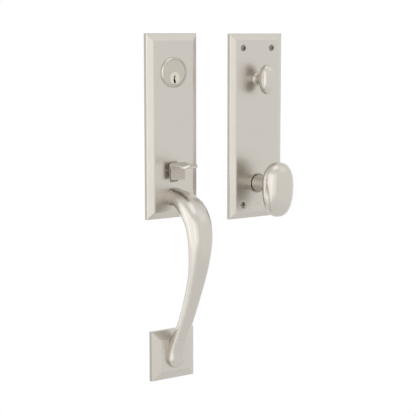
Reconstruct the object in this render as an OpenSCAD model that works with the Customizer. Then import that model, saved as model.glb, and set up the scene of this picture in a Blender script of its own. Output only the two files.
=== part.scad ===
// Entry door handleset: an outside escutcheon with key cylinder, thumb lever and
// bowed grip on a foot plate, and an inside escutcheon with thumb turn and egg knob.
// X runs across the door, Y into the door and Z up. The origin is the middle of the
// outside plate on its back face, and the fronts face -Y.

/* [Outside plate] */
// Width of the outside plate
outside_w = 77; // [70:0.5:90]
// Height of the outside plate
outside_h = 237; // [232:1:260]
// Height of the plain edge round the outside and foot plates
land_h = 5; // [4:0.1:6.5]
// Width of the bevel round the outside plate
bevel_w = 8.7; // [6:0.1:10]
// Rise of the bevel from the plain edge to the panel
bevel_rise = 5; // [3:0.1:7]
// Thickness of the metal left in front of a plate's hollow back
plate_wall = 4.5; // [3.5:0.1:5]
// Width of the solid rim round a plate's hollow back
plate_rim = 9.5; // [8:0.1:11]

/* [Inside plate] */
// Width of the inside plate
inside_w = 86.4; // [80:0.2:96]
// Height of the inside plate
inside_h = 247; // [240:1:270]
// Distance between the middles of the two plates as displayed
display_gap = 135.5; // [110:0.5:200]
// Height of the inside plate's middle above the outside plate's middle
inside_z = -5.6; // [-10:0.1:4]
// Width of the bevel round the inside plate
inside_bevel_w = 8; // [6:0.1:10]
// Rise of the inside plate's bevel
inside_bevel_rise = 4.5; // [3:0.1:6]
// Distance of the thumb turn's axis from the inside plate's top edge
turn_from_top = 60.2; // [52:0.1:68]
// Distance of the knob's axis from the inside plate's bottom edge
knob_from_bottom = 47.1; // [44:0.1:56]
// Distance of the corner screws from the plate's side edges
corner_side = 19.7; // [16:0.1:22]
// Distance of the corner screws from the plate's top and bottom edges
corner_end = 19; // [16:0.1:24]
// Diameter of the corner screws' shank
screw_d = 4.2; // [3.5:0.1:5]
// Diameter of the corner screws' head
screw_head_d = 8.2; // [7:0.1:9.5]
// Length of the corner screws
screw_l = 25; // [16:1:30]

/* [Foot plate] */
// Side of the square foot plate
foot_w = 66; // [60:0.5:76]
// Width of the bevel round the foot plate
foot_bevel_w = 11.6; // [8:0.1:13]
// Height of the foot plate's middle above the outside plate's middle
foot_z = -299.5; // [-312:0.5:-292]

/* [Key cylinder] */
// Distance of the key plug's axis from the outside plate's top edge
key_from_top = 56.5; // [49:0.1:64]
// Distance of the plug's axis below the middle of the cylinder's face
plug_drop = 7.2; // [6:0.1:7.2]
// Diameter of the collar round the cylinder's face
collar_d = 38.8; // [38:0.1:46]
// Width of the collar's raised ring
collar_ring = 3; // [2:0.1:4]
// Height of the collar above the plate
collar_h = 2.6; // [2.4:0.1:5]
// Diameter of the cylinder's body
cylinder_d = 28.6; // [28.4:0.1:31]
// Depth of the cylinder's body behind the plate's back face
cylinder_back = 20; // [18:0.5:28]
// Diameter of the key plug's body
plug_d = 12.7; // [11.5:0.1:12.8]
// Diameter of the key plug's face
plug_face_d = 16.2; // [15:0.1:16.6]
// Length of the tailpiece behind the plug
tailpiece_l = 20; // [12:1:24]
// Width of the tailpiece's blade
blade_w = 6.2; // [5:0.1:6.8]
// Thickness of the tailpiece's blade
blade_t = 1.6; // [1.2:0.1:2.2]

/* [Thumb lever] */
// Width of the thumb lever
lever_w = 20.4; // [16:0.2:24]
// Thickness of the thumb lever's strap
lever_t = 2.6; // [2:0.1:3.2]
// Distance of the lever's rounded front end from the door
lever_reach = 54; // [46:1:60]
// Distance of the front of the lever's leg from the door
leg_out = 19.7; // [18.5:0.1:23]
// Height of the top of the leg above the lever's pivot
leg_above = 10.6; // [8:0.1:14]
// Distance of the bottom of the leg below the lever's pivot
leg_below = 11.8; // [8:0.1:14]
// Drop of the thumb rest from the leg to the start of its lip
rest_drop = 2.6; // [1:0.1:4]
// Length of the lip at the front of the thumb rest
lip_l = 9; // [7:0.5:13]
// Rise of the lip
lip_rise = 3.4; // [1:0.1:5]
// Width of the slot that the lever's arm goes through
slot_w = 12; // [11:0.1:13]
// Height of the slot's top above the lever's pivot
slot_above = 8; // [6:0.1:10]
// Distance of the slot's bottom below the lever's pivot
slot_below = 14.6; // [13:0.1:16]
// Distance of the lever's pivot from the outside plate's bottom edge
pivot_from_bottom = 62.5; // [61.5:0.1:63.5]
// Diameter of the lever's pivot pin
pivot_pin_d = 4; // [3:0.1:4.4]

/* [Grip] */
// Diameter of the grip's round base on the outside plate
grip_base_d = 24.4; // [22:0.2:28]
// Distance of the middle of the grip's base from the outside plate's bottom edge
grip_from_bottom = 28; // [22.5:0.5:29.5]
// Distance of the grip's middle line from the door at its furthest
grip_bow = 68.3; // [60:0.5:80]
// Diameter of the grip's round end at the foot plate
grip_end_d = 23.6; // [22:0.2:26]
// How square the grip's section is, where 2 is an ellipse
grip_square = 2.5; // [2:0.1:3]
// Diameter of the bolt that holds the grip's base
grip_bolt_d = 8; // [6:0.1:8]
// Diameter of the spigot that centres the foot plate
spigot_d = 12; // [11:0.1:13]
// Diameter of the threaded hole in the spigot
foot_thread_d = 5; // [4:0.1:6.5]

/* [Thumb turn] */
// Height of the thumb turn's oval
turn_h = 39; // [32:0.5:46]
// Width of the thumb turn's oval
turn_w = 19.5; // [14:0.5:22]
// Depth of the thumb turn's oval
turn_depth = 17; // [12:0.5:20]
// Distance of the oval's middle from the door
turn_out = 29.4; // [28:0.1:38]
// Diameter of the thumb turn's shaft
turn_shaft_d = 9.2; // [8:0.1:9.6]
// Diameter of the ring at the thumb turn's base
turn_ring_d = 18.2; // [17:0.2:24]

/* [Knob] */
// Width of the egg knob
knob_w = 44.6; // [38:0.2:52]
// Height of the egg knob above its axis
knob_up = 31.5; // [28:0.5:40]
// Height of the egg knob below its axis
knob_down = 41; // [30:0.5:44]
// Depth of the egg knob
knob_depth = 32; // [28:0.5:38]
// Distance of the egg's middle from the door
knob_out = 54.5; // [50:0.5:62]
// Diameter of the knob's neck
neck_d = 23.2; // [22:0.2:23.6]
// Diameter of the ring at the knob's base
knob_ring_d = 26.6; // [25.6:0.2:32]
// Diameter of the knob's shank in the plate
shank_d = 18; // [16:0.1:18.6]
// Side of the square spindle
spindle_w = 8; // [7:0.1:8.4]
// Length of the spindle behind the plate's back face
spindle_back = 45; // [35:1:52]
// Diameter of the spring housing behind the inside plate
housing_d = 48; // [46:0.5:52]
// Depth of the spring housing behind the plate's back face
housing_back = 8.5; // [7.5:0.5:12]

/* [Fits] */
// Radial clearance of a shaft that turns in its bearing
running = 0.05; // [0.03:0.01:0.08]
// Radial clearance of a bolt or spigot in its hole
loose = 0.15; // [0.1:0.05:0.3]
// Gap between faces of pieces that move past each other
gap = 0.3; // [0.2:0.05:0.4]

/* [Hidden] */
$fn = 96;
eps = 0.01;

satin = [0.76, 0.74, 0.70];
bright = [0.86, 0.85, 0.83];
steel = [0.62, 0.63, 0.65];
brass = [0.80, 0.67, 0.38];

// Levels out of the door
face = land_h + bevel_rise;
wall_back = face - plate_wall;
inside_face = land_h + inside_bevel_rise;
inside_wall_back = inside_face - plate_wall;

// Places on the plates
key_z = outside_h / 2 - key_from_top;
pivot_z = -outside_h / 2 + pivot_from_bottom;
leg_top = pivot_z + leg_above;
leg_bottom = pivot_z - leg_below;
slot_top = pivot_z + slot_above;
slot_bottom = pivot_z - slot_below;
grip_z = -outside_h / 2 + grip_from_bottom;
turn_y = inside_h / 2 - turn_from_top;
knob_y = -inside_h / 2 + knob_from_bottom;
turn_z = inside_z + turn_y;
knob_z = inside_z + knob_y;

// Key cylinder
cylinder_z = key_z + plug_drop;
lip_t = 0.6;
head_r = collar_d / 2 - collar_ring;
collar_bevel = 2;
head_front = face + collar_h - 0.5;
nut_t = 4;
nut_r = cylinder_d / 2 + 4.1;
flange_t = 1.1;
plug_back = cylinder_back + 1;
cap_t = 1.4;
cap_r = plug_d / 2 + 0.75;
tail_disc_t = 1.2;
blade_hole_r = norm([blade_w, blade_t]) / 2 + loose;
keyway_depth = face + 17;

// Posts beside the cylinder for the through-door screws
post_x = 22;
post_r = 4;
post_back = 16;
post_thread_r = 2.1;
post_spigot_r = 2.5;
post_spigot_l = 3;

// Thumb lever
pivot_out = 0.5;
arm_w = 9;
arm_t = 6;
boss_r = pivot_pin_d / 2 + 2.2;
lever_bend_r = 3;
leg_lean = 0.8;
rest_nose = 8;
lever_inner_r = 2;
tail_out = -13;
tail_drop = 24;
tail_t = 4;
ear_in = slot_w / 2 + 0.4;
ear_t = 1.5;
ear_top = slot_top + 2;
ear_bottom = slot_bottom - 4;
ear_back = -pivot_out - pivot_pin_d - 7;
bracket_x = 12.5;
bracket_half_h = 6;
bracket_screw_r = 1.5;
pin_head_t = 1.2;

// Grip: middle line given as [out, z], with half width and half depth of the section
foot_face = face;
base_r = grip_base_d / 2;
end_r = grip_end_d / 2;
end_z = foot_z - 5.5;
grip_stations = [
    [face - 2.5, grip_z, base_r, base_r],
    [face + 11, grip_z - 0.7, base_r, 10.9],
    [face + 23, grip_z - 3.3, 14.4, 11.8],
    [0.67 * grip_bow, grip_z - 9.1, 16.6, 13.2],
    [0.835 * grip_bow, grip_z - 18.8, 17.2, 13.7],
    [0.95 * grip_bow, grip_z - 31.5, 16.8, 13.4],
    [grip_bow, grip_z - 49.5, 15.8, 12.7],
    [0.98 * grip_bow, grip_z - 70.5, 13.7, 11.8],
    [0.917 * grip_bow, grip_z - 92.5, 11.7, 10.5],
    [0.807 * grip_bow, grip_z - 114.5, 10.2, 9.6],
    [0.67 * grip_bow, (grip_z + end_z) / 2 - 30.5, 9.3, 9],
    [0.51 * grip_bow, end_z + 53, 8.9, 8.7],
    [0.344 * grip_bow, end_z + 32, 9.3, 9.2],
    [foot_face + 3.5, end_z + 14, 10.6, 10.5],
    [foot_face, end_z, end_r, end_r],
];
grip_steps = 3;
grip_sides = 32;
cap_steps = 6;
bolt_depth = 20;
bolt_head_t = 5.3;
washer_t = 1.5;
washer_r = 8.5;
clip_t = 1;

// Thumb turn
turn_ring_h = 2.5;
turn_step_h = 1.6;
turn_spigot_r = 7;
stem_r = 6.3;
stem_end_r = 0.88 * turn_w / 2;
stem_end = turn_out - 0.35 * turn_depth;
turn_back = 5;
turn_groove_r = turn_shaft_d / 2 - 0.9;

// Knob
knob_ring_h = 2.3;
shank_back = housing_back + 2.6;
knob_spigot_r = shank_d / 2 + 2;
ring_floor = inside_face + 0.8;
neck_start = ring_floor + gap;
neck_r = neck_d / 2;
neck_waist_r = neck_r - 1.2;
neck_end = knob_out - knob_depth / 2 + 3;
spindle_out = (neck_start + neck_end) / 2;
set_out = neck_start + 8.5;
housing_wall = 1.5;
housing_screw_r = 1.7;
housing_screw_z = housing_d / 2 + 3.5;
coil_r = housing_d / 2 - 5;
coil_wire_r = 1.1;

// Places a shape drawn with x across, y up and z out of the door
module on_door(x = 0, z = 0) {
    translate([x, 0, z])
        rotate([90, 0, 0])
            children();
}

// Cylinder along the way out of the door, from one level to another
module peg(r, from, to) {
    translate([0, 0, from])
        cylinder(r = r, h = to - from);
}

// Ring between two radii and two levels
module washer(r_in, r_out, from, to) {
    difference() {
        peg(r_out, from, to);
        peg(r_in, from - 1, to + 1);
    }
}

// Outline of a bevelled plate's section, of half width w
function bevel_outline(w, land, bevel, rise) = [
    [-w, 0], [w, 0], [w, land], [w - bevel, land + rise],
    [-w + bevel, land + rise], [-w, land],
];

// Solid plate with a bevel all round and mitred corners
module bevelled_blank(w, h, land, bevel, rise) {
    intersection() {
        translate([0, h / 2, 0])
            rotate([90, 0, 0])
                linear_extrude(h)
                    polygon(bevel_outline(w / 2, land, bevel, rise));
        translate([-w / 2, 0, 0])
            rotate([90, 0, 90])
                linear_extrude(w)
                    polygon(bevel_outline(h / 2, land, bevel, rise));
    }
}

// Rectangle with round corners
module round_rect(w, h, r) {
    square([w - 2 * r, h], center = true);
    square([w, h - 2 * r], center = true);
    for (x = [-1, 1], y = [-1, 1])
        translate([x * (w / 2 - r), y * (h / 2 - r)])
            circle(r);
}

// Points of an arc, in degrees
function arc(c, r, from, to, steps = 10) = [
    for (i = [0:steps])
        let (a = from + (to - from) * i / steps)
            c + r * [cos(a), sin(a)]
];

// Closed body through a list of rings, with a point at each end
module skin(rings, first, last) {
    m = len(rings[0]);
    n = len(rings);
    points = concat([first], [for (ring = rings) each ring], [last]);
    end = len(points) - 1;
    faces = concat(
        [for (j = [0:m - 1]) [0, 1 + j, 1 + (j + 1) % m]],
        [
            for (i = [0:n - 2], j = [0:m - 1])
                let (a = 1 + i * m + j, b = 1 + i * m + (j + 1) % m)
                    each [[a, a + m, b], [b, a + m, b + m]]
        ],
        [for (j = [0:m - 1]) [end, end - m + (j + 1) % m, end - m + j]]
    );
    polyhedron(points, faces);
}

// Signed power, which turns an ellipse into a squarer oval
function spow(v, p) = sign(v) * pow(abs(v), p);

// Point of a Catmull-Rom curve between p1 and p2
function curve(p0, p1, p2, p3, t) =
    0.5 * (2 * p1 + (p2 - p0) * t + (2 * p0 - 5 * p1 + 4 * p2 - p3) * t * t
        + (3 * p1 - p0 - 3 * p2 + p3) * t * t * t);

// Smooth run of values through a list of stations
function smooth(s, steps) =
    let (n = len(s), all = concat([2 * s[0] - s[1]], s, [2 * s[n - 1] - s[n - 2]]))
        concat(
            [
                for (i = [1:n - 1], k = [0:steps - 1])
                    curve(all[i - 1], all[i], all[i + 1], all[i + 2], k / steps)
            ],
            [s[n - 1]]
        );

function unit(v) = v / norm(v);

// Spring wire along a list of points
module wire(path, r, sides = 8) {
    n = len(path);
    rings = [
        for (i = [0:n - 1])
            let (
                t = unit(path[min(i + 1, n - 1)] - path[max(i - 1, 0)]),
                u = unit(cross(t, abs(t[2]) < 0.9 ? [0, 0, 1] : [1, 0, 0])),
                v = cross(t, u)
            )
                [for (j = [0:sides - 1]) path[i] + r * (cos(360 * j / sides) * u + sin(360 * j / sides) * v)]
    ];
    skin(rings, path[0], path[n - 1]);
}

// Oval knob with its own height above and below its axis; square and flat say how square
// its upright and level sections are, where 2 is an ellipse
module oval_knob(w, up, down, depth, out, square, flat, steps = 16, sides = 36) {
    p = 2 / square;
    q = 2 / flat;
    rings = [
        for (i = [1:steps - 1])
            let (t = -90 + 180 * i / steps, half = t < 0 ? down : up, c = pow(cos(t), p))
                [
                    for (j = [0:sides - 1])
                        let (a = 360 * j / sides)
                            [
                                w / 2 * c * spow(cos(a), q), half * spow(sin(t), p),
                                out - depth / 2 * c * spow(sin(a), q),
                            ]
                ]
    ];
    skin(rings, [0, -down, out], [0, up, out]);
}

module plate_body(w, h, bevel, rise) {
    depth = land_h + rise - plate_wall;
    difference() {
        bevelled_blank(w, h, land_h, bevel, rise);
        translate([0, 0, -1])
            linear_extrude(depth + 1)
                round_rect(w - 2 * plate_rim, h - 2 * plate_rim, 4);
    }
}

module outside_plate() {
    color(satin) on_door() difference() {
        plate_body(outside_w, outside_h, bevel_w, bevel_rise);
        translate([0, cylinder_z, 0])
            peg(cylinder_d / 2 + loose, 0, face + 1);
        translate([0, (slot_top + slot_bottom) / 2, 0])
            linear_extrude(face + 1)
                round_rect(slot_w, slot_top - slot_bottom, 1);
        translate([0, grip_z, 0])
            peg(grip_bolt_d / 2 + loose, 0, face + 1);
        for (x = [-post_x, post_x])
            translate([x, key_z, 0])
                peg(post_spigot_r + running, 0, wall_back + post_spigot_l + gap);
        for (x = [-bracket_x, bracket_x])
            translate([x, pivot_z, 0])
                peg(bracket_screw_r + running, 0, wall_back + plate_wall - 1);
    }
}

module cylinder_collar() {
    ring_in = head_r + running;
    color(satin) on_door(0, cylinder_z)
        rotate_extrude()
            polygon([
                [cylinder_d / 2 + 1, face], [collar_d / 2, face], [collar_d / 2, face + collar_h - 1.7],
                [collar_d / 2 - collar_bevel, face + collar_h], [ring_in, face + collar_h],
                [ring_in, face + lip_t], [cylinder_d / 2 + 1, face + lip_t],
            ]);
}

module lock_cylinder() {
    color(satin) on_door(0, cylinder_z) difference() {
        union() {
            peg(head_r, face + lip_t, head_front);
            peg(cylinder_d / 2, -cylinder_back, face + lip_t);
        }
        translate([0, -plug_drop, 0]) {
            peg(plug_d / 2 + running, -cylinder_back - 1, head_front + 1);
            peg(plug_face_d / 2 + running, head_front - flange_t, head_front + 1);
        }
    }
}

module cylinder_nut() {
    color(brass) on_door(0, cylinder_z) difference() {
        washer(cylinder_d / 2 + running, nut_r, wall_back - nut_t, wall_back);
        for (a = [0, 90])
            rotate([0, 0, a])
                translate([-nut_r - 1, -1.5, wall_back - nut_t - 1])
                    cube([2 * nut_r + 2, 3, 2.5]);
    }
}

// Warded keyway, narrow at the top and wide at the foot
module keyway_outline() {
    polygon([
        [-0.5, 3.3], [0.9, 3.3], [1.3, 1.2], [0.4, 0], [0.4, -1.6],
        [1.5, -3.2], [1.7, -plug_d / 2 - 0.7], [-1.1, -plug_d / 2 - 0.7],
        [-1.1, -4.4], [-1.6, -3], [-1.5, -0.8], [-0.7, 0.8],
    ]);
}

module key_plug() {
    color(bright) on_door(0, key_z) difference() {
        union() {
            peg(plug_face_d / 2, head_front - flange_t + running, head_front + 0.1);
            peg(plug_d / 2, -plug_back, head_front - flange_t + running);
        }
        translate([0, 0, face - keyway_depth])
            linear_extrude(keyway_depth + collar_h + 1)
                keyway_outline();
    }
}

module plug_cap() {
    back = -plug_back - tail_disc_t - running;
    color(brass) on_door(0, key_z) difference() {
        peg(cap_r, back - cap_t, -cylinder_back - gap);
        peg(plug_d / 2 + running, back, 0);
        peg(blade_hole_r, back - cap_t - 1, 0);
    }
}

module tailpiece() {
    color(steel) on_door(0, key_z) {
        peg(plug_d / 2 - 0.4, -plug_back - tail_disc_t, -plug_back);
        translate([-blade_w / 2, -blade_t / 2, -plug_back - tail_disc_t - tailpiece_l])
            cube([blade_w, blade_t, tailpiece_l + eps]);
    }
}

module mounting_posts() {
    color(brass) for (x = [-post_x, post_x])
        on_door(x, key_z) difference() {
            union() {
                peg(post_r, -post_back, wall_back);
                peg(post_spigot_r, wall_back, wall_back + post_spigot_l);
            }
            peg(post_thread_r, -post_back - 1, -post_back + 14);
        }
}

// Side view of the thumb rest and leg, with x out of the door and y up
module lever_strap_outline() {
    rest_end = lever_reach - lip_l;
    top = leg_top;
    bend = lever_bend_r;
    slope = atan2(rest_drop, rest_end - leg_out);
    lip_r = lip_l * lip_l / (2 * lip_rise);
    lip_a = asin(min(0.9, lip_l / lip_r));
    low = top - rest_drop;
    polygon(concat(
        [
            [leg_out + leg_lean, leg_bottom], [leg_out - lever_t + leg_lean, leg_bottom],
            [leg_out - lever_t, top - bend],
        ],
        arc([leg_out - lever_t + bend, top - bend], bend, 180, 90 - slope),
        [[rest_end, low]],
        [for (i = [1:6]) let (a = lip_a * i / 6) [rest_end + lip_r * sin(a), low + lip_r * (1 - cos(a))]],
        [for (i = [6:-1:1]) let (a = lip_a * i / 6)
            [rest_end + (lip_r + lever_t) * sin(a), low - lever_t + (lip_r + lever_t) * (1 - cos(a))]],
        [[rest_end, low - lever_t]],
        arc([leg_out + lever_inner_r, top - lever_t - lever_inner_r * (1 + tan(slope))], lever_inner_r, 90, 180)
    ));
}

// Side view of the arm, pivot boss and tail
module lever_arm_outline() {
    translate([pivot_out, pivot_z])
        circle(boss_r);
    translate([pivot_out, pivot_z - arm_t / 2])
        square([leg_out - lever_t - pivot_out + 1.2, arm_t]);
    polygon([
        [pivot_out, pivot_z + boss_r], [tail_out, pivot_z + tail_t / 4], [tail_out - tail_t, pivot_z - tail_t / 2],
        [tail_out - tail_t, pivot_z - tail_drop], [tail_out, pivot_z - tail_drop],
        [tail_out, pivot_z - 1.25 * tail_t], [pivot_out, pivot_z - boss_r],
    ]);
}

module thumb_lever() {
    color(satin) difference() {
        union() {
            intersection() {
                rotate([90, 0, -90])
                    translate([0, 0, -lever_w / 2])
                        linear_extrude(lever_w)
                            lever_strap_outline();
                translate([0, -lever_reach + rest_nose, leg_bottom - 1])
                    linear_extrude(leg_top + lip_rise + lever_t - leg_bottom + 2) {
                        polygon([for (i = [0:24]) [-lever_w / 2 * cos(7.5 * i), -rest_nose * sin(7.5 * i)]]);
                        translate([-lever_w / 2, 0])
                            square([lever_w, lever_reach - rest_nose]);
                    }
            }
            rotate([90, 0, -90])
                translate([0, 0, -arm_w / 3])
                    linear_extrude(arm_w * 5 / 6)
                        lever_arm_outline();
        }
        translate([0, -pivot_out, pivot_z])
            rotate([0, 90, 0])
                cylinder(d = pivot_pin_d + 2 * running, h = 60, center = true);
    }
}

module lever_bracket() {
    foot_len = bracket_x + 4.5 - ear_in;
    color(steel) for (side = [-1, 1])
        difference() {
            union() {
                translate([side > 0 ? ear_in : -ear_in - ear_t, -wall_back, ear_bottom])
                    cube([ear_t, wall_back - ear_back, ear_top - ear_bottom]);
                translate([side > 0 ? ear_in : -ear_in - foot_len, -wall_back, pivot_z - bracket_half_h])
                    cube([foot_len, ear_t, 2 * bracket_half_h]);
            }
            translate([0, -pivot_out, pivot_z])
                rotate([0, 90, 0])
                    cylinder(d = pivot_pin_d + 2 * running, h = 60, center = true);
            on_door(side * bracket_x, pivot_z)
                peg(bracket_screw_r + loose, 0, face);
        }
}

module lever_pin() {
    head_in = ear_in + ear_t + running;
    color(steel) translate([0, -pivot_out, pivot_z])
        rotate([0, 90, 0]) {
            translate([0, 0, -head_in])
                cylinder(d = pivot_pin_d, h = 2 * head_in + 0.6);
            translate([0, 0, -head_in - pin_head_t])
                cylinder(d = pivot_pin_d + 2.4, h = pin_head_t);
        }
}

// Torsion spring round the pivot pin, beside the lever's boss
module lever_spring() {
    r = pivot_pin_d / 2 + 1;
    wire_r = 0.4;
    x0 = arm_w / 3 + 0.7;
    pitch = 0.95;
    turns = 2.25;
    steps = 30;
    coil = [
        for (i = [0:steps])
            let (a = 90 + 360 * turns * i / steps)
                [x0 + pitch * turns * i / steps, r * cos(a), r * sin(a)]
    ];
    color(steel) translate([0, -pivot_out, pivot_z])
        wire(concat([[x0, 8, r]], coil, [[x0 + pitch * turns, coil[steps][1], coil[steps][2] - 4]]), wire_r);
}

module bracket_screws() {
    seat = wall_back - ear_t;
    color(steel) for (x = [-bracket_x, bracket_x])
        on_door(x, pivot_z) difference() {
            union() {
                peg(bracket_screw_r, seat, wall_back + plate_wall - 1.5);
                peg(bracket_screw_r + 1.3, seat - 1.8, seat);
            }
            translate([-3, -0.4, seat - 2.8])
                cube([6, 0.8, 1.9]);
        }
}

function grip_ring(s, t) =
    let (n = [-t[1], t[0]], p = 2 / grip_square)
        [
            for (j = [0:grip_sides - 1])
                let (a = 360 * j / grip_sides, d = s[3] * spow(cos(a), p))
                    [-s[2] * spow(sin(a), p), s[1] + d * n[1], s[0] + d * n[0]]
        ];

module grip() {
    line = smooth(grip_stations, grip_steps);
    n = len(line);
    way = [for (i = [0:n - 1]) let (d = line[min(i + 1, n - 1)] - line[max(i - 1, 0)]) unit([d[0], d[1]])];
    last = line[n - 1];
    heading = way[n - 1];
    body = [for (i = [0:n - 1]) grip_ring(line[i], way[i])];
    cap = [
        for (i = [1:cap_steps - 1])
            let (a = 90 * i / cap_steps, c = [last[0], last[1]] + end_r * sin(a) * heading)
                grip_ring([c[0], c[1], end_r * cos(a), end_r * cos(a)], heading)
    ];
    tip = [last[0], last[1]] + end_r * heading;
    color(satin) on_door() difference() {
        union() {
            difference() {
                skin(concat(body, cap), [0, line[0][1], line[0][0]], [0, tip[1], tip[0]]);
                translate([-grip_base_d, end_z - grip_end_d, face - grip_base_d])
                    cube([2 * grip_base_d, grip_z + grip_base_d - end_z + grip_end_d, grip_base_d]);
            }
            translate([0, end_z, 0])
                peg(spigot_d / 2, 0.5, foot_face + 2);
        }
        translate([0, grip_z, 0])
            peg(grip_bolt_d / 2, face - 1, face + bolt_depth);
        translate([0, end_z, 0]) {
            peg(foot_thread_d / 2, 0, foot_face + 9);
            washer(spigot_d / 2 - 0.8, spigot_d, wall_back - clip_t - gap, wall_back - running);
        }
    }
}

module grip_bolt() {
    seat = wall_back - washer_t;
    color(steel) on_door(0, grip_z) {
        peg(grip_bolt_d / 2 - running, seat, face + bolt_depth - 2);
        translate([0, 0, seat - bolt_head_t])
            cylinder(r = grip_bolt_d * 0.92, h = bolt_head_t, $fn = 6);
    }
}

module grip_washer() {
    color(steel) on_door(0, grip_z)
        washer(grip_bolt_d / 2 + loose, washer_r, wall_back - washer_t, wall_back);
}

module foot_plate() {
    color(satin) on_door(0, foot_z) difference() {
        plate_body(foot_w, foot_w, foot_bevel_w, bevel_rise);
        translate([0, end_z - foot_z, 0])
            peg(spigot_d / 2 + loose, 0, face + 1);
    }
}

// Open ring that snaps into a groove
module snap_ring(r_in, r_out, from, to) {
    difference() {
        washer(r_in, r_out, from, to);
        translate([-r_in * 0.7, -r_out - 1, from - 1])
            cube([r_in * 1.4, r_out + 1, to - from + 2]);
    }
}

module foot_clip() {
    color(steel) on_door(0, end_z)
        snap_ring(spigot_d / 2 - 0.8 + running, spigot_d / 2 + 2.6, wall_back - clip_t - 0.2, wall_back - 0.2);
}

module at_corners() {
    for (x = [-1, 1], y = [-1, 1])
        translate([x * (inside_w / 2 - corner_side), y * (inside_h / 2 - corner_end), 0])
            children();
}

module inside_plate() {
    sink = (screw_head_d - screw_d) / 2 + 0.4;
    color(satin) on_door(display_gap, inside_z) difference() {
        plate_body(inside_w, inside_h, inside_bevel_w, inside_bevel_rise);
        at_corners() {
            peg(screw_d / 2 + loose, 0, inside_face + 1);
            translate([0, 0, inside_face - sink])
                cylinder(r1 = screw_d / 2 + loose, r2 = screw_head_d / 2 + 0.4, h = sink + eps);
        }
        translate([0, turn_y, 0])
            peg(turn_spigot_r + running, 0, inside_face + 1);
        translate([0, knob_y, 0]) {
            peg(knob_spigot_r + running, 0, inside_face + 1);
            for (y = [-housing_screw_z, housing_screw_z])
                translate([0, y, 0])
                    peg(housing_screw_r + running, 0, inside_face - 1);
        }
    }
}

// Raised countersunk head with a cross recess, and a pointed shank
module corner_screw() {
    cone = (screw_head_d - screw_d) / 2;
    r = screw_head_d / 2;
    dome_r = (r * r + 1) / 2;
    tip = screw_d;
    difference() {
        union() {
            translate([0, 0, inside_face - cone])
                cylinder(r1 = screw_d / 2, r2 = r, h = cone);
            intersection() {
                peg(r, inside_face, inside_face + 2);
                translate([0, 0, inside_face + 1 - dome_r])
                    sphere(dome_r);
            }
            peg(screw_d / 2, inside_face - screw_l + tip, inside_face - cone + eps);
            translate([0, 0, inside_face - screw_l])
                cylinder(r1 = 0.3, r2 = screw_d / 2, h = tip);
        }
        for (a = [20, 110])
            rotate([0, 0, a])
                translate([-2.5, -0.65, inside_face - 1.3])
                    cube([5, 1.3, 3.3]);
    }
}

module corner_screws() {
    color(steel) on_door(display_gap, inside_z)
        at_corners()
            corner_screw();
}

module turn_ring() {
    bore = turn_shaft_d / 2 + running;
    outer = turn_ring_d / 2;
    level = inside_face + turn_ring_h;
    step_r = stem_r + 0.5;
    color(satin) on_door(display_gap, turn_z)
        rotate_extrude()
            polygon([
                [bore, inside_wall_back - 0.4], [turn_spigot_r, inside_wall_back - 0.4],
                [turn_spigot_r, inside_face], [outer, inside_face], [outer, level - 0.8],
                [outer - 0.8, level], [step_r + 0.6, level], [step_r, level + turn_step_h], [bore, level + turn_step_h],
            ]);
}

// Round stem that flares into the back of the thumb turn's oval
module turn_stem() {
    start = inside_face + turn_ring_h + turn_step_h + gap;
    straight = start + 1.5;
    flare = stem_end_r - stem_r;
    r = (pow(stem_end - straight, 2) + flare * flare) / (2 * flare);
    rotate_extrude()
        polygon(concat(
            [[0, start], [stem_r, start]],
            arc([stem_r + r, straight], r, 180, 180 - asin((stem_end - straight) / r), 8),
            [[0, stem_end]]
        ));
}

module thumb_turn() {
    groove_front = inside_wall_back - 0.4 - 0.6;
    color(satin) on_door(display_gap, turn_z) difference() {
        union() {
            oval_knob(turn_w, turn_h / 2, turn_h / 2, turn_depth, turn_out, 2.3, 3.2, 14, 32);
            turn_stem();
            peg(turn_shaft_d / 2, -turn_back, turn_out);
        }
        washer(turn_groove_r, turn_shaft_d, groove_front - clip_t - running, groove_front);
        translate([-blade_t / 2 - 0.2, -blade_w / 2 - 0.2, -turn_back - 1])
            cube([blade_t + 0.4, blade_w + 0.4, 9]);
    }
}

module turn_washer() {
    back = inside_wall_back - 0.4;
    color(steel) on_door(display_gap, turn_z)
        washer(turn_shaft_d / 2 + loose, turn_spigot_r, back - 0.5, back - running);
}

module turn_clip() {
    groove_front = inside_wall_back - 0.4 - 0.6;
    color(steel) on_door(display_gap, turn_z)
        snap_ring(turn_groove_r + running, turn_spigot_r, groove_front - clip_t, groove_front - running);
}

module knob_ring() {
    bore = shank_d / 2 + running;
    outer = knob_ring_d / 2;
    recess_r = neck_r + 0.7;
    level = inside_face + knob_ring_h;
    color(satin) on_door(display_gap, knob_z)
        rotate_extrude()
            polygon([
                [bore, inside_wall_back], [knob_spigot_r, inside_wall_back], [knob_spigot_r, inside_face],
                [outer, inside_face], [outer, level - 0.4], [outer - 0.4, level],
                [recess_r, level], [recess_r, ring_floor], [bore, ring_floor],
            ]);
}

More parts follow.
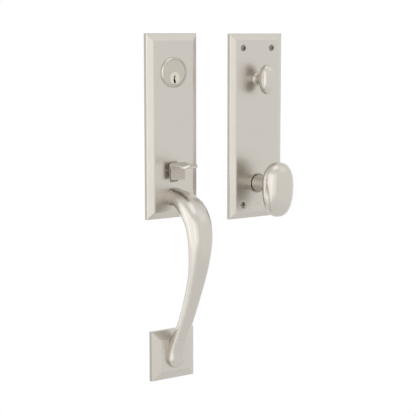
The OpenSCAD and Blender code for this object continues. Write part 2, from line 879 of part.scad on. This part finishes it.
module egg_knob() {
    key_r = spindle_w / 2 + running;
    groove_front = -housing_back - gap;
    neck_mid = (neck_start + neck_end) / 2;
    sag = neck_r - neck_waist_r;
    waist = (pow(neck_end - neck_mid, 2) + sag * sag) / (2 * sag);
    turn = asin((neck_end - neck_mid) / waist);
    color(satin) on_door(display_gap, knob_z) difference() {
        union() {
            oval_knob(knob_w, knob_up, knob_down, knob_depth, knob_out, 2.4, 2.2);
            rotate_extrude()
                polygon(concat(
                    [[0, neck_start]],
                    arc([neck_waist_r + waist, neck_mid], waist, 180 + turn, 180 - turn, 12),
                    [[0, neck_end]]
                ));
            peg(shank_d / 2, -shank_back, neck_start + eps);
        }
        translate([-key_r, -key_r, -shank_back - 1])
            cube([2 * key_r, 2 * key_r, shank_back + 1 + spindle_out + 2]);
        washer(shank_d / 2 - 1, shank_d, groove_front - clip_t - running, groove_front);
        translate([0, 0, set_out])
            rotate([90, 0, 0])
                cylinder(r = 2, h = 40);
    }
}

module set_screw() {
    color(steel) on_door(display_gap, knob_z)
        translate([0, 0, set_out])
            rotate([90, 0, 0])
                difference() {
                    translate([0, 0, spindle_w / 2])
                        cylinder(r = 2 - running, h = 6);
                    translate([0, 0, spindle_w / 2 + 4])
                        cylinder(r = 1.15, h = 3, $fn = 6);
                }
}

module spindle() {
    color(steel) on_door(display_gap, knob_z)
        translate([-spindle_w / 2, -spindle_w / 2, -spindle_back])
            cube([spindle_w, spindle_w, spindle_back + spindle_out]);
}

module spring_housing() {
    r = housing_d / 2;
    back = -housing_back;
    color(steel) on_door(display_gap, knob_z) difference() {
        union() {
            peg(r, back, inside_wall_back);
            translate([0, 0, inside_wall_back - housing_wall])
                linear_extrude(housing_wall)
                    round_rect(11, 2 * housing_screw_z + 10, 4);
        }
        peg(r - housing_wall, back + housing_wall, inside_wall_back + 1);
        peg(shank_d / 2 + 1, back - 1, 0);
        for (y = [-housing_screw_z, housing_screw_z])
            translate([0, y, 0])
                peg(housing_screw_r + loose, 0, inside_face);
    }
}

module housing_screws() {
    seat = inside_wall_back - housing_wall;
    color(steel) for (y = [-housing_screw_z, housing_screw_z])
        on_door(display_gap, knob_z + y) difference() {
            union() {
                peg(housing_screw_r, seat, inside_face - 1.5);
                peg(housing_screw_r + 1.5, seat - 1.8, seat);
            }
            translate([-4, -0.4, seat - 2.8])
                cube([8, 0.8, 1.9]);
        }
}

// Torsion spring with straight ends that brings the knob back to rest
module return_spring() {
    turns = 2.75;
    steps = 66;
    leg = 5;
    first = inside_wall_back - 2;
    last = -housing_back + housing_wall + coil_wire_r + gap;
    coil = [
        for (i = [0:steps])
            let (a = 135 + 360 * turns * i / steps)
                [coil_r * cos(a), coil_r * sin(a), first + (last - first) * i / steps]
    ];
    start = coil[0] + leg * unit(coil[0] - coil[1]);
    end = coil[steps] + leg * unit(coil[steps] - coil[steps - 1]);
    color(steel) on_door(display_gap, knob_z)
        wire(concat([start], coil, [end]), coil_wire_r);
}

// Plate on the shank whose lug works the return spring
module spring_driver() {
    level = inside_wall_back - 5;
    color(brass) on_door(display_gap, knob_z) difference() {
        union() {
            peg(shank_d / 2 + 4, level - 3, level);
            translate([-3.5, 0, level - 3])
                cube([7, coil_r - coil_wire_r - 1, 3]);
        }
        peg(shank_d / 2 + running, level - 4, level + 1);
    }
}

module knob_clip() {
    groove_front = -housing_back - gap;
    color(steel) on_door(display_gap, knob_z)
        snap_ring(shank_d / 2 - 1 + running, shank_d / 2 + 2.4, groove_front - clip_t, groove_front - running);
}

outside_plate();
cylinder_collar();
lock_cylinder();
cylinder_nut();
key_plug();
plug_cap();
tailpiece();
mounting_posts();
thumb_lever();
lever_bracket();
lever_pin();
lever_spring();
bracket_screws();
grip();
grip_bolt();
grip_washer();
foot_plate();
foot_clip();
inside_plate();
corner_screws();
turn_ring();
thumb_turn();
turn_washer();
turn_clip();
knob_ring();
egg_knob();
set_screw();
spindle();
spring_housing();
housing_screws();
return_spring();
spring_driver();
knob_clip();
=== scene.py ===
"""Looks of an entry door handleset in satin nickel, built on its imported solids.

Lengths are metres. X runs across the door, Y into the door and Z up, and the origin is
the middle of the outside plate on its back face.
"""

import logging
import math
from dataclasses import dataclass, field
from enum import Enum

import bpy
import numpy as np
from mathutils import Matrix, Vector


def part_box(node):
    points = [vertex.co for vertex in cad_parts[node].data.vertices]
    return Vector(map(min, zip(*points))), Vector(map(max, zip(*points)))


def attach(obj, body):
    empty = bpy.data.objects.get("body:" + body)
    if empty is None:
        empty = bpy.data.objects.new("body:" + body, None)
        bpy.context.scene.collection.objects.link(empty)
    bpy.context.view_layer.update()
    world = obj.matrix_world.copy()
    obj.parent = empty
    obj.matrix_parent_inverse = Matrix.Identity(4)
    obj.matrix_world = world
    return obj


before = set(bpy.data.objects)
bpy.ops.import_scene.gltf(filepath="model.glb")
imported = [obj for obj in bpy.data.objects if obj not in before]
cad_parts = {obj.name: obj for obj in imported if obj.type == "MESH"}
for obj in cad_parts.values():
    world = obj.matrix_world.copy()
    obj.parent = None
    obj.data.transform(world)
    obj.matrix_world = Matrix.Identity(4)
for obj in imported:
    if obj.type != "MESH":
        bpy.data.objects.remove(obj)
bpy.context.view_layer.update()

LOG = logging.getLogger("handleset")
MM = 0.001

# Sizes that the solids were made with
CYLINDER_BODY = 28.6 * MM
SCREW_HEAD = 8.2 * MM
SCREW_SHANK = 4.2 * MM


class Edge(Enum):
    """How far the edges of a piece are broken, in metres."""

    SHARP = 0.0
    CRISP = 0.12 * MM
    TUMBLED = 0.3 * MM
    POLISHED = 0.6 * MM
    SOFT = 2.2 * MM


def linear(hex_colour: str) -> tuple[float, float, float, float]:
    """Turns an sRGB colour such as "#C0BCB2" into the linear colour that Blender mixes.

    Args:
        hex_colour: the colour as six hex digits after a hash sign.

    Returns:
        Linear red, green, blue and an alpha of 1.
    """
    parts = [int(hex_colour[i : i + 2], 16) / 255 for i in (1, 3, 5)]
    low = [p / 12.92 if p <= 0.04045 else ((p + 0.055) / 1.055) ** 2.4 for p in parts]
    return (low[0], low[1], low[2], 1.0)


def add_node(
    tree: bpy.types.NodeTree,
    kind: str,
    inputs: dict | None = None,
    settings: dict | None = None,
) -> bpy.types.Node:
    """Adds a node with its settings, values and links.

    Args:
        tree: the node tree of a material or the world.
        kind: the node's type name.
        inputs: for each input socket, a value or the output socket that feeds it.
        settings: the node's own properties.

    Returns:
        The new node.
    """
    made = tree.nodes.new(kind)
    for name, value in (settings or {}).items():
        setattr(made, name, value)
    for name, value in (inputs or {}).items():
        if isinstance(value, bpy.types.NodeSocket):
            tree.links.new(value, made.inputs[name])
        else:
            made.inputs[name].default_value = value
    return made


@dataclass(frozen=True)
class PlatedMetal:
    """A metal surface: its colour, how rough it is, and the lines that its making left.

    The lines are a noise stretched along one axis and pressed into the surface by a bump,
    and a slow cloud changes the roughness a little, as hand polishing does.
    """

    name: str
    colour: str
    roughness: float
    line_mm: float = 0.5
    line_run: float = 24.0
    line_height_mm: float = 0.012
    cloud_mm: float = 22.0
    cloud_share: float = 0.06
    rolled_mm: float = 0.0

    def make(self, along: int = 2) -> bpy.types.Material:
        """Builds the material.

        Args:
            along: the axis that the lines run along, 0 for X, 1 for Y and 2 for Z.

        Returns:
            The material.
        """
        label = f"{self.name} {'XYZ'[along]}"
        found = bpy.data.materials.get(label)
        if found:
            return found
        made = bpy.data.materials.new(label)
        made.use_nodes = True
        tree = made.node_tree
        tree.nodes.clear()
        place = add_node(tree, "ShaderNodeTexCoord")
        stretch = [1.0, 1.0, 1.0]
        stretch[along] = 1 / self.line_run
        aligned = add_node(
            tree, "ShaderNodeMapping", {"Vector": place.outputs["Object"], "Scale": stretch}
        )
        lines = add_node(
            tree,
            "ShaderNodeTexNoise",
            {"Vector": aligned.outputs["Vector"], "Scale": 1 / (self.line_mm * MM), "Detail": 1.5},
        )
        cloud = add_node(
            tree,
            "ShaderNodeTexNoise",
            {"Vector": place.outputs["Object"], "Scale": 1 / (self.cloud_mm * MM), "Detail": 2.0},
        )
        rough = add_node(
            tree,
            "ShaderNodeMapRange",
            {
                "Value": cloud.outputs["Fac"],
                "From Min": 0.3,
                "From Max": 0.7,
                "To Min": self.roughness - self.cloud_share / 2,
                "To Max": self.roughness + self.cloud_share / 2,
            },
        )
        relief = {
            "Height": lines.outputs["Fac"],
            "Distance": self.line_height_mm * MM,
            "Strength": 1.0,
        }
        if self.rolled_mm:
            rolled = add_node(
                tree, "ShaderNodeBevel", {"Radius": self.rolled_mm * MM}, {"samples": 16}
            )
            relief["Normal"] = rolled.outputs["Normal"]
        grain = add_node(tree, "ShaderNodeBump", relief)
        shader = add_node(
            tree,
            "ShaderNodeBsdfPrincipled",
            {
                "Base Color": linear(self.colour),
                "Metallic": 1.0,
                "Roughness": rough.outputs["Result"],
                "Normal": grain.outputs["Normal"],
            },
        )
        add_node(tree, "ShaderNodeOutputMaterial", {"Surface": shader.outputs["BSDF"]})
        return made


# Nickel plate over cast brass, brushed with a fine belt: a soft warm grey with blurred reflections.
# The belt's own lines are 0.1 mm apart and are drawn at 0.5 mm, or they wouldn't show.
SATIN_NICKEL = PlatedMetal("satin nickel plate", "#C6C1B9", 0.3)
PLATE_NICKEL = PlatedMetal("satin nickel plate, rolled joints", "#C6C1B9", 0.3, rolled_mm=3.0)
# The same plate on the castings that a hand holds, rubbed by hand: sharper, streaked reflections
RUBBED_NICKEL = PlatedMetal("rubbed nickel plate", "#C6C1B9", 0.26, 0.6, 16.0, 0.003, 16.0, 0.04)
# Nickel plate on the turned cylinder, which no belt has paled: a little darker and browner
TURNED_NICKEL = PlatedMetal("turned nickel plate", "#BEB8AE", 0.3, 0.5, 6.0, 0.010, 12.0, 0.05)
# The same plate on the narrow sides of the plates, rougher from the file, and darker in colour as
# painted shade that keeps the sides dim where the back-left soft box falls on them
SIDE_SHADE_NICKEL = PlatedMetal("nickel plate with painted side shade", "#A19C93", 0.4, 0.6, 8.0, 0.012, 16.0, 0.06)
# Nickel plate on the lever's leg under the thumb rest: a little rougher, and darker and browner in
# colour as painted shade
LEG_SHADE_NICKEL = PlatedMetal("nickel plate with painted leg shade", "#B3ABA2", 0.36, 0.6, 8.0, 0.008, 12.0, 0.06)
# Nickel plate left bright on the turned plug: sharper reflections and hardly any lines
BRIGHT_NICKEL = PlatedMetal("bright nickel plate", "#D2CCC0", 0.2, 0.4, 6.0, 0.004, 8.0, 0.04)
# The same plate over the sand casting's own skin, which no belt reaches: dull and pebbled
PLATED_CASTING = PlatedMetal("plated casting skin", "#A9A498", 0.5, 1.3, 1.0, 0.09, 14.0, 0.14)
# Screw heads in a dark plate colour, which is painted shade, so that the countersink and recess look
# almost black
RECESS_SHADE_NICKEL = PlatedMetal("nickel plate with painted recess shade", "#8F8A80", 0.34, 0.4, 3.0, 0.008, 4.0, 0.1)
# Pressed steel with clear zinc plate: cool grey, a little cloudy from the bath
ZINC_STEEL = PlatedMetal("zinc plated steel", "#B9BDC2", 0.36, 0.7, 3.0, 0.008, 9.0, 0.16)
# Drawn spring wire, oiled: darker steel with fine lines along the wire
SPRING_STEEL = PlatedMetal("drawn spring steel", "#8C8F94", 0.3, 0.3, 8.0, 0.006, 6.0, 0.08)
# Bar brass straight from the lathe: yellow, with tool lines across the axis
TURNED_BRASS = PlatedMetal("turned brass", "#D8B56A", 0.28, 0.4, 0.25, 0.010, 10.0, 0.08)


def dress(
    node: str,
    finish: PlatedMetal,
    edge: Edge = Edge.TUMBLED,
    along: int = 2,
    back: PlatedMetal | None = None,
    sides: PlatedMetal | None = None,
    front: PlatedMetal | None = None,
) -> None:
    """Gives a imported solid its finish, and breaks its edges as a finisher does.

    The mesh itself stays as packed. A weld joins its triangles, a bevel rounds the edges, and
    weighted normals keep the flats flat.

    Args:
        node: the solid's name.
        finish: the finish of its surface.
        edge: how far its edges are broken.
        along: the axis that the finish's lines run along.
        back: the finish of the faces that look into the door, where it is another one.
        sides: the finish of the faces that look across the door, where it is another one.
        front: the finish of the faces that look away from the door, where it is another one.
    """
    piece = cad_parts[node]
    faces = piece.data.polygons
    normals = np.empty(3 * len(faces), np.float32)
    faces.foreach_get("normal", normals)
    facing = normals.reshape(-1, 3)
    index = np.zeros(len(faces), np.int32)
    piece.data.materials.clear()
    piece.data.materials.append(finish.make(along))
    for other, turned in (
        (back, facing[:, 1] > 0.7),
        (sides, np.abs(facing[:, 0]) > 0.9),
        (front, facing[:, 1] < -0.9),
    ):
        if other:
            index[turned] = len(piece.data.materials)
            piece.data.materials.append(other.make(along))
    faces.foreach_set("material_index", index)
    faces.foreach_set("use_smooth", np.ones(len(faces), bool))
    weld = piece.modifiers.new("weld", "WELD")
    weld.merge_threshold = 1e-6
    if edge is Edge.SHARP:
        split = piece.modifiers.new("sharp edges", "EDGE_SPLIT")
        split.split_angle = math.radians(32)
    else:
        bevel = piece.modifiers.new("broken edges", "BEVEL")
        bevel.width = edge.value
        bevel.segments = 5 if edge is Edge.SOFT else 2
        bevel.limit_method = "ANGLE"
        bevel.angle_limit = math.radians(20)
        bevel.use_clamp_overlap = True
        normals = piece.modifiers.new("flat flats", "WEIGHTED_NORMAL")
        normals.mode = "FACE_AREA"
        normals.keep_sharp = False
    LOG.info("dressed %s in %s", node, finish.name)


@dataclass
class Thread:
    """The ridge of a right-hand screw thread, wound round a shank that runs into the door.

    Attributes:
        centre: X and Z of the shank's axis.
        start: Y where the thread begins.
        length: how far it runs along Y.
        shank: the shank's radius.
        height: how far the crest stands off the shank.
        pitch: the advance in one turn.
        point: how far before the end the shank begins to narrow to a point, or 0.
    """

    centre: tuple[float, float]
    start: float
    length: float
    shank: float
    height: float
    pitch: float
    point: float = 0.0

    def build(self, name: str, finish: PlatedMetal, body: str, slot: str) -> bpy.types.Object:
        """Makes the ridge as one strip that winds round the shank.

        A point of the strip goes round the axis by one turn for each pitch that it goes into
        the door. Across the strip the radius goes from just under the shank's surface up to the
        crest, along a narrow flat, and down again. The crest rises from nothing over the first
        turn and sinks back over the last, and on a pointed shank all radii shrink evenly along
        the point.

        Args:
            name: the piece's name.
            finish: the finish of its surface.
            body: the body that it rides on.
            slot: not used.

        Returns:
            The new piece.
        """
        turns = self.length / self.pitch
        steps = int(turns * 40) + 1
        t = np.linspace(0.0, 1.0, steps)[:, None]
        side = np.array([-0.36, -0.07, 0.07, 0.36])[None, :]
        rise = np.array([0.0, 1.0, 1.0, 0.0])[None, :]
        fade = np.clip(np.minimum(t, 1 - t) * turns, 0.0, 1.0)
        narrow = np.ones_like(t)
        if self.point:
            narrow = np.clip((1 - t) * self.length / self.point, 0.2, 1.0)
        sunk = 0.06 * MM
        radius = narrow * self.shank - sunk + rise * fade * (self.height + sunk)
        angle = -2 * np.pi * t * turns
        x = self.centre[0] + radius * np.cos(angle)
        z = self.centre[1] + radius * np.sin(angle)
        y = self.start + t * self.length + side * self.pitch + 0 * radius
        points = np.stack([x, y, z], axis=-1).reshape(-1, 3)
        row, column = np.meshgrid(np.arange(steps - 1), np.arange(3), indexing="ij")
        first = (4 * row + column).ravel()
        quads = np.stack([first, first + 4, first + 5, first + 1], axis=-1)
        mesh = bpy.data.meshes.new(name)
        mesh.from_pydata(points.tolist(), [], quads.tolist())
        mesh.polygons.foreach_set("use_smooth", np.ones(len(mesh.polygons), bool))
        mesh.materials.append(finish.make(1))
        made = bpy.data.objects.new(name, mesh)
        bpy.context.scene.collection.objects.link(made)
        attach(made, body)
        LOG.info("wound %s, %.0f turns", name, turns)
        return made


@dataclass
class OutsideTrim:
    """The outside plate and the foot plate, with what fixes them."""

    def build(self) -> None:
        """Dresses the plates and their fixings."""
        # The narrow sides of both plates take a darker colour, which is painted shade.
        dress("outside_plate", PLATE_NICKEL, Edge.SOFT, back=PLATED_CASTING, sides=SIDE_SHADE_NICKEL)
        dress("foot_plate", SATIN_NICKEL, Edge.POLISHED, back=PLATED_CASTING, sides=SIDE_SHADE_NICKEL)
        dress("foot_clip", SPRING_STEEL, Edge.SHARP)
        dress("mounting_posts", TURNED_BRASS, Edge.SHARP, along=1)


@dataclass
class KeyCylinder:
    """The key cylinder with its collar, plug, nut and tailpiece."""

    thread_height: float = 0.4 * MM
    thread_pitch: float = 1.25 * MM

    def build(self) -> None:
        """Dresses the pieces of the cylinder, and cuts the thread for its nut."""
        dress("cylinder_collar", TURNED_NICKEL, Edge.TUMBLED)
        dress("lock_cylinder", TURNED_NICKEL, Edge.TUMBLED)
        dress("cylinder_nut", TURNED_BRASS, Edge.CRISP, along=1)
        dress("key_plug", BRIGHT_NICKEL, Edge.CRISP)
        dress("plug_cap", TURNED_BRASS, Edge.CRISP, along=1)
        dress("tailpiece", ZINC_STEEL, Edge.CRISP)
        low, high = (np.array(corner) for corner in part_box("lock_cylinder"))
        nut_low, nut_high = (np.array(corner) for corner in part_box("cylinder_nut"))
        start = nut_high[1] + self.thread_pitch
        middle = (nut_low + nut_high) / 2
        body = CYLINDER_BODY / 2
        Thread(
            (middle[0], middle[2]),
            start,
            high[1] - self.thread_pitch - start,
            body,
            self.thread_height,
            self.thread_pitch,
        ).build("cylinder_thread", TURNED_BRASS, "trim", "raw_brass")


@dataclass
class ThumbLever:
    """The thumb lever, its bracket, pin, spring and screws."""

    def build(self) -> None:
        """Dresses the lever and what carries it."""
        # The leg's front faces take a darker, browner colour, which is painted shade under the thumb
        # rest.
        dress(
            "thumb_lever",
            SATIN_NICKEL,
            Edge.POLISHED,
            sides=RUBBED_NICKEL,
            front=LEG_SHADE_NICKEL,
        )
        dress("lever_bracket", ZINC_STEEL, Edge.CRISP)
        dress("lever_pin", ZINC_STEEL, Edge.SHARP, along=0)
        dress("lever_spring", SPRING_STEEL, Edge.SHARP)
        dress("bracket_screws", ZINC_STEEL, Edge.SHARP)


@dataclass
class BowedGrip:
    """The grip with the bolt and washer at its base."""

    def build(self) -> None:
        """Dresses the grip and its fixings."""
        dress("grip", RUBBED_NICKEL, Edge.SHARP)
        dress("grip_bolt", ZINC_STEEL, Edge.SHARP)
        dress("grip_washer", ZINC_STEEL, Edge.SHARP)


@dataclass
class InsideTrim:
    """The inside plate with its corner screws and the rings of turn and knob."""

    thread_start: float = 1.0 * MM
    thread_height: float = 0.7 * MM
    thread_pitch: float = 1.9 * MM

    def build(self) -> None:
        """Dresses the plate, its screws and the rings."""
        # The plate's narrow sides take a darker colour, which is painted shade.
        dress("inside_plate", PLATE_NICKEL, Edge.SOFT, back=PLATED_CASTING, sides=SIDE_SHADE_NICKEL)
        # The screw heads take a dark colour, which is painted shade in their countersinks and
        # recesses.
        dress("corner_screws", RECESS_SHADE_NICKEL, Edge.CRISP)
        self._screw_threads()
        dress("turn_ring", SATIN_NICKEL, Edge.TUMBLED)
        dress("knob_ring", SATIN_NICKEL, Edge.TUMBLED)
        dress("thumb_turn", RUBBED_NICKEL, Edge.SHARP)
        dress("turn_washer", ZINC_STEEL, Edge.SHARP)
        dress("turn_clip", SPRING_STEEL, Edge.SHARP)

    def _screw_threads(self) -> None:
        """Winds a wood thread round each of the four corner screws."""
        low, high = (np.array(corner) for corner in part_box("corner_screws"))
        head = SCREW_HEAD / 2
        for row, z in (("low", low[2] + head), ("high", high[2] - head)):
            for side, x in (("left", low[0] + head), ("right", high[0] - head)):
                Thread(
                    (x, z),
                    self.thread_start,
                    high[1] - 0.3 * MM - self.thread_start,
                    SCREW_SHANK / 2,
                    self.thread_height,
                    self.thread_pitch,
                    SCREW_SHANK,
                ).build(f"screw_thread_{row}_{side}", ZINC_STEEL, "trim", "steel")


@dataclass
class EggKnob:
    """The egg knob, its spindle and the spring housing behind the plate."""

    def build(self) -> None:
        """Dresses the knob and what returns it."""
        dress("egg_knob", RUBBED_NICKEL, Edge.SHARP)
        dress("set_screw", ZINC_STEEL, Edge.SHARP)
        dress("spindle", ZINC_STEEL, Edge.TUMBLED, along=1)
        dress("spring_housing", ZINC_STEEL, Edge.TUMBLED)
        dress("housing_screws", ZINC_STEEL, Edge.SHARP)
        dress("return_spring", SPRING_STEEL, Edge.SHARP)
        dress("spring_driver", TURNED_BRASS, Edge.CRISP, along=1)
        dress("knob_clip", SPRING_STEEL, Edge.SHARP)


@dataclass
class Lamp:
    """A soft box: a rectangle of even light that looks at one point."""

    name: str
    place: tuple[float, float, float]
    target: tuple[float, float, float]
    width: float
    height: float
    watts: float

    def build(self) -> None:
        """Adds the lamp to the scene."""
        data = bpy.data.lights.new(self.name, "AREA")
        data.shape = "RECTANGLE"
        data.size = self.width
        data.size_y = self.height
        data.energy = self.watts
        made = bpy.data.objects.new(self.name, data)
        bpy.context.scene.collection.objects.link(made)
        place = np.array(self.place)
        way = np.array(self.target) - place
        turn = math.atan2(way[1], way[0]) - math.pi / 2
        tilt = math.atan2(way[2], math.hypot(way[0], way[1])) + math.pi / 2
        made.location = place
        made.rotation_euler = (tilt, 0.0, turn)


@dataclass
class Studio:
    """A white studio: pale floor, even white surroundings, soft boxes and the camera."""

    floor_level: float = -1.4
    floor_side: float = 24.0
    surround: float = 1.0
    lamps: list[Lamp] = field(
        default_factory=lambda: [
            Lamp("left soft box", (-2.0, -0.05, 0.1), (0.05, 0.0, 0.1), 3.8, 2.6, 18.0),
            Lamp("front left soft box", (-2.15, -3.35, 0.3), (0.05, 0.0, -0.1), 2.9, 4.0, 15.5),
            Lamp("front fill", (1.38, -2.2, 0.2), (0.05, 0.0, -0.1), 3.6, 3.2, 2.9),
            Lamp("right fill", (2.6, 0.3, 0.1), (0.05, 0.0, -0.1), 2.4, 2.6, 1.6),
            Lamp("back left soft box", (-1.35, 1.73, -0.18), (0.05, 0.0, -0.18), 1.5, 1.35, 3.4),
            Lamp("right top soft box", (1.3, -1.3, 1.5), (0.05, 0.0, -0.1), 1.2, 1.2, 1.0),
            Lamp("top soft box", (-0.04, -0.6, 1.9), (0.05, 0.0, -0.1), 1.3, 1.3, 3.0),
        ]
    )

    def build(self) -> None:
        """Adds the floor, the surroundings, the lamps and the camera."""
        self._floor()
        self._surroundings()
        for lamp in self.lamps:
            lamp.build()
        self._camera()
        bpy.context.scene.view_settings.view_transform = "Standard"
        LOG.info("studio with %d lamps", len(self.lamps))

    def _floor(self) -> None:
        """Adds a pale floor, a plain square that the camera sees as white."""
        half = self.floor_side / 2
        mesh = bpy.data.meshes.new("floor")
        corners = [(-half, -half), (half, -half), (half, half), (-half, half)]
        mesh.from_pydata([(x, y, self.floor_level) for x, y in corners], [], [(0, 1, 2, 3)])
        floor = bpy.data.objects.new("floor", mesh)
        bpy.context.scene.collection.objects.link(floor)
        paint = bpy.data.materials.new("pale floor paint")
        paint.use_nodes = True
        tree = paint.node_tree
        tree.nodes.clear()
        shown = self._shown(tree)
        matt = add_node(
            tree, "ShaderNodeBsdfDiffuse", {"Color": linear("#EFEEEC"), "Roughness": 0.5}
        )
        white = add_node(tree, "ShaderNodeEmission", {"Color": (1, 1, 1, 1), "Strength": 1.0})
        mix = add_node(tree, "ShaderNodeMixShader", {"Fac": shown})
        tree.links.new(matt.outputs["BSDF"], mix.inputs[1])
        tree.links.new(white.outputs["Emission"], mix.inputs[2])
        add_node(tree, "ShaderNodeOutputMaterial", {"Surface": mix.outputs["Shader"]})
        mesh.materials.append(paint)

    def _shown(self, tree: bpy.types.NodeTree) -> bpy.types.NodeSocket:
        """Adds nodes that give 1 to the rays that see the studio, straight or in the metal.

        Args:
            tree: the node tree of a material or the world.

        Returns:
            The output socket, 1 for a camera, glossy or transmission ray and 0 for others.
        """
        seen = add_node(tree, "ShaderNodeLightPath")
        first = add_node(
            tree,
            "ShaderNodeMath",
            {0: seen.outputs["Is Camera Ray"], 1: seen.outputs["Is Glossy Ray"]},
            {"operation": "MAXIMUM"},
        )
        shown = add_node(
            tree,
            "ShaderNodeMath",
            {0: first.outputs["Value"], 1: seen.outputs["Is Transmission Ray"]},
            {"operation": "MAXIMUM"},
        )
        return shown.outputs["Value"]

    def _surroundings(self) -> None:
        """Lights the scene evenly, and shows white to the camera and in the metal."""
        world = bpy.data.worlds.new("white studio")
        world.use_nodes = True
        tree = world.node_tree
        tree.nodes.clear()
        level = add_node(
            tree,
            "ShaderNodeMapRange",
            {"Value": self._shown(tree), "To Min": 0.8, "To Max": self.surround},
        )
        white = add_node(
            tree,
            "ShaderNodeBackground",
            {"Color": (1, 1, 1, 1), "Strength": level.outputs["Result"]},
        )
        add_node(tree, "ShaderNodeOutputWorld", {"Surface": white.outputs["Background"]})
        bpy.context.scene.world = world

    def _camera(self) -> None:
        """Adds the camera at the photograph's angle, a little left of the door and above it."""
        data = bpy.data.cameras.new("camera")
        data.sensor_width = 36.0
        data.lens = 108.55
        data.clip_start = 0.05
        data.clip_end = 60.0
        camera = bpy.data.objects.new("camera", data)
        bpy.context.scene.collection.objects.link(camera)
        camera.location = (-0.8954, -1.3444, 0.1221)
        camera.rotation_euler = (math.radians(81.94), 0.0, math.radians(-35.42))
        bpy.context.scene.camera = camera


def main() -> None:
    """Builds the studio and each part of the handleset."""
    logging.basicConfig(level=logging.INFO, format="%(message)s")
    Studio().build()
    for part in (OutsideTrim(), KeyCylinder(), ThumbLever(), BowedGrip(), InsideTrim(), EggKnob()):
        part.build()
        LOG.info("built %s", type(part).__name__)
    bpy.context.view_layer.update()


if __name__ == "__main__":
    main()
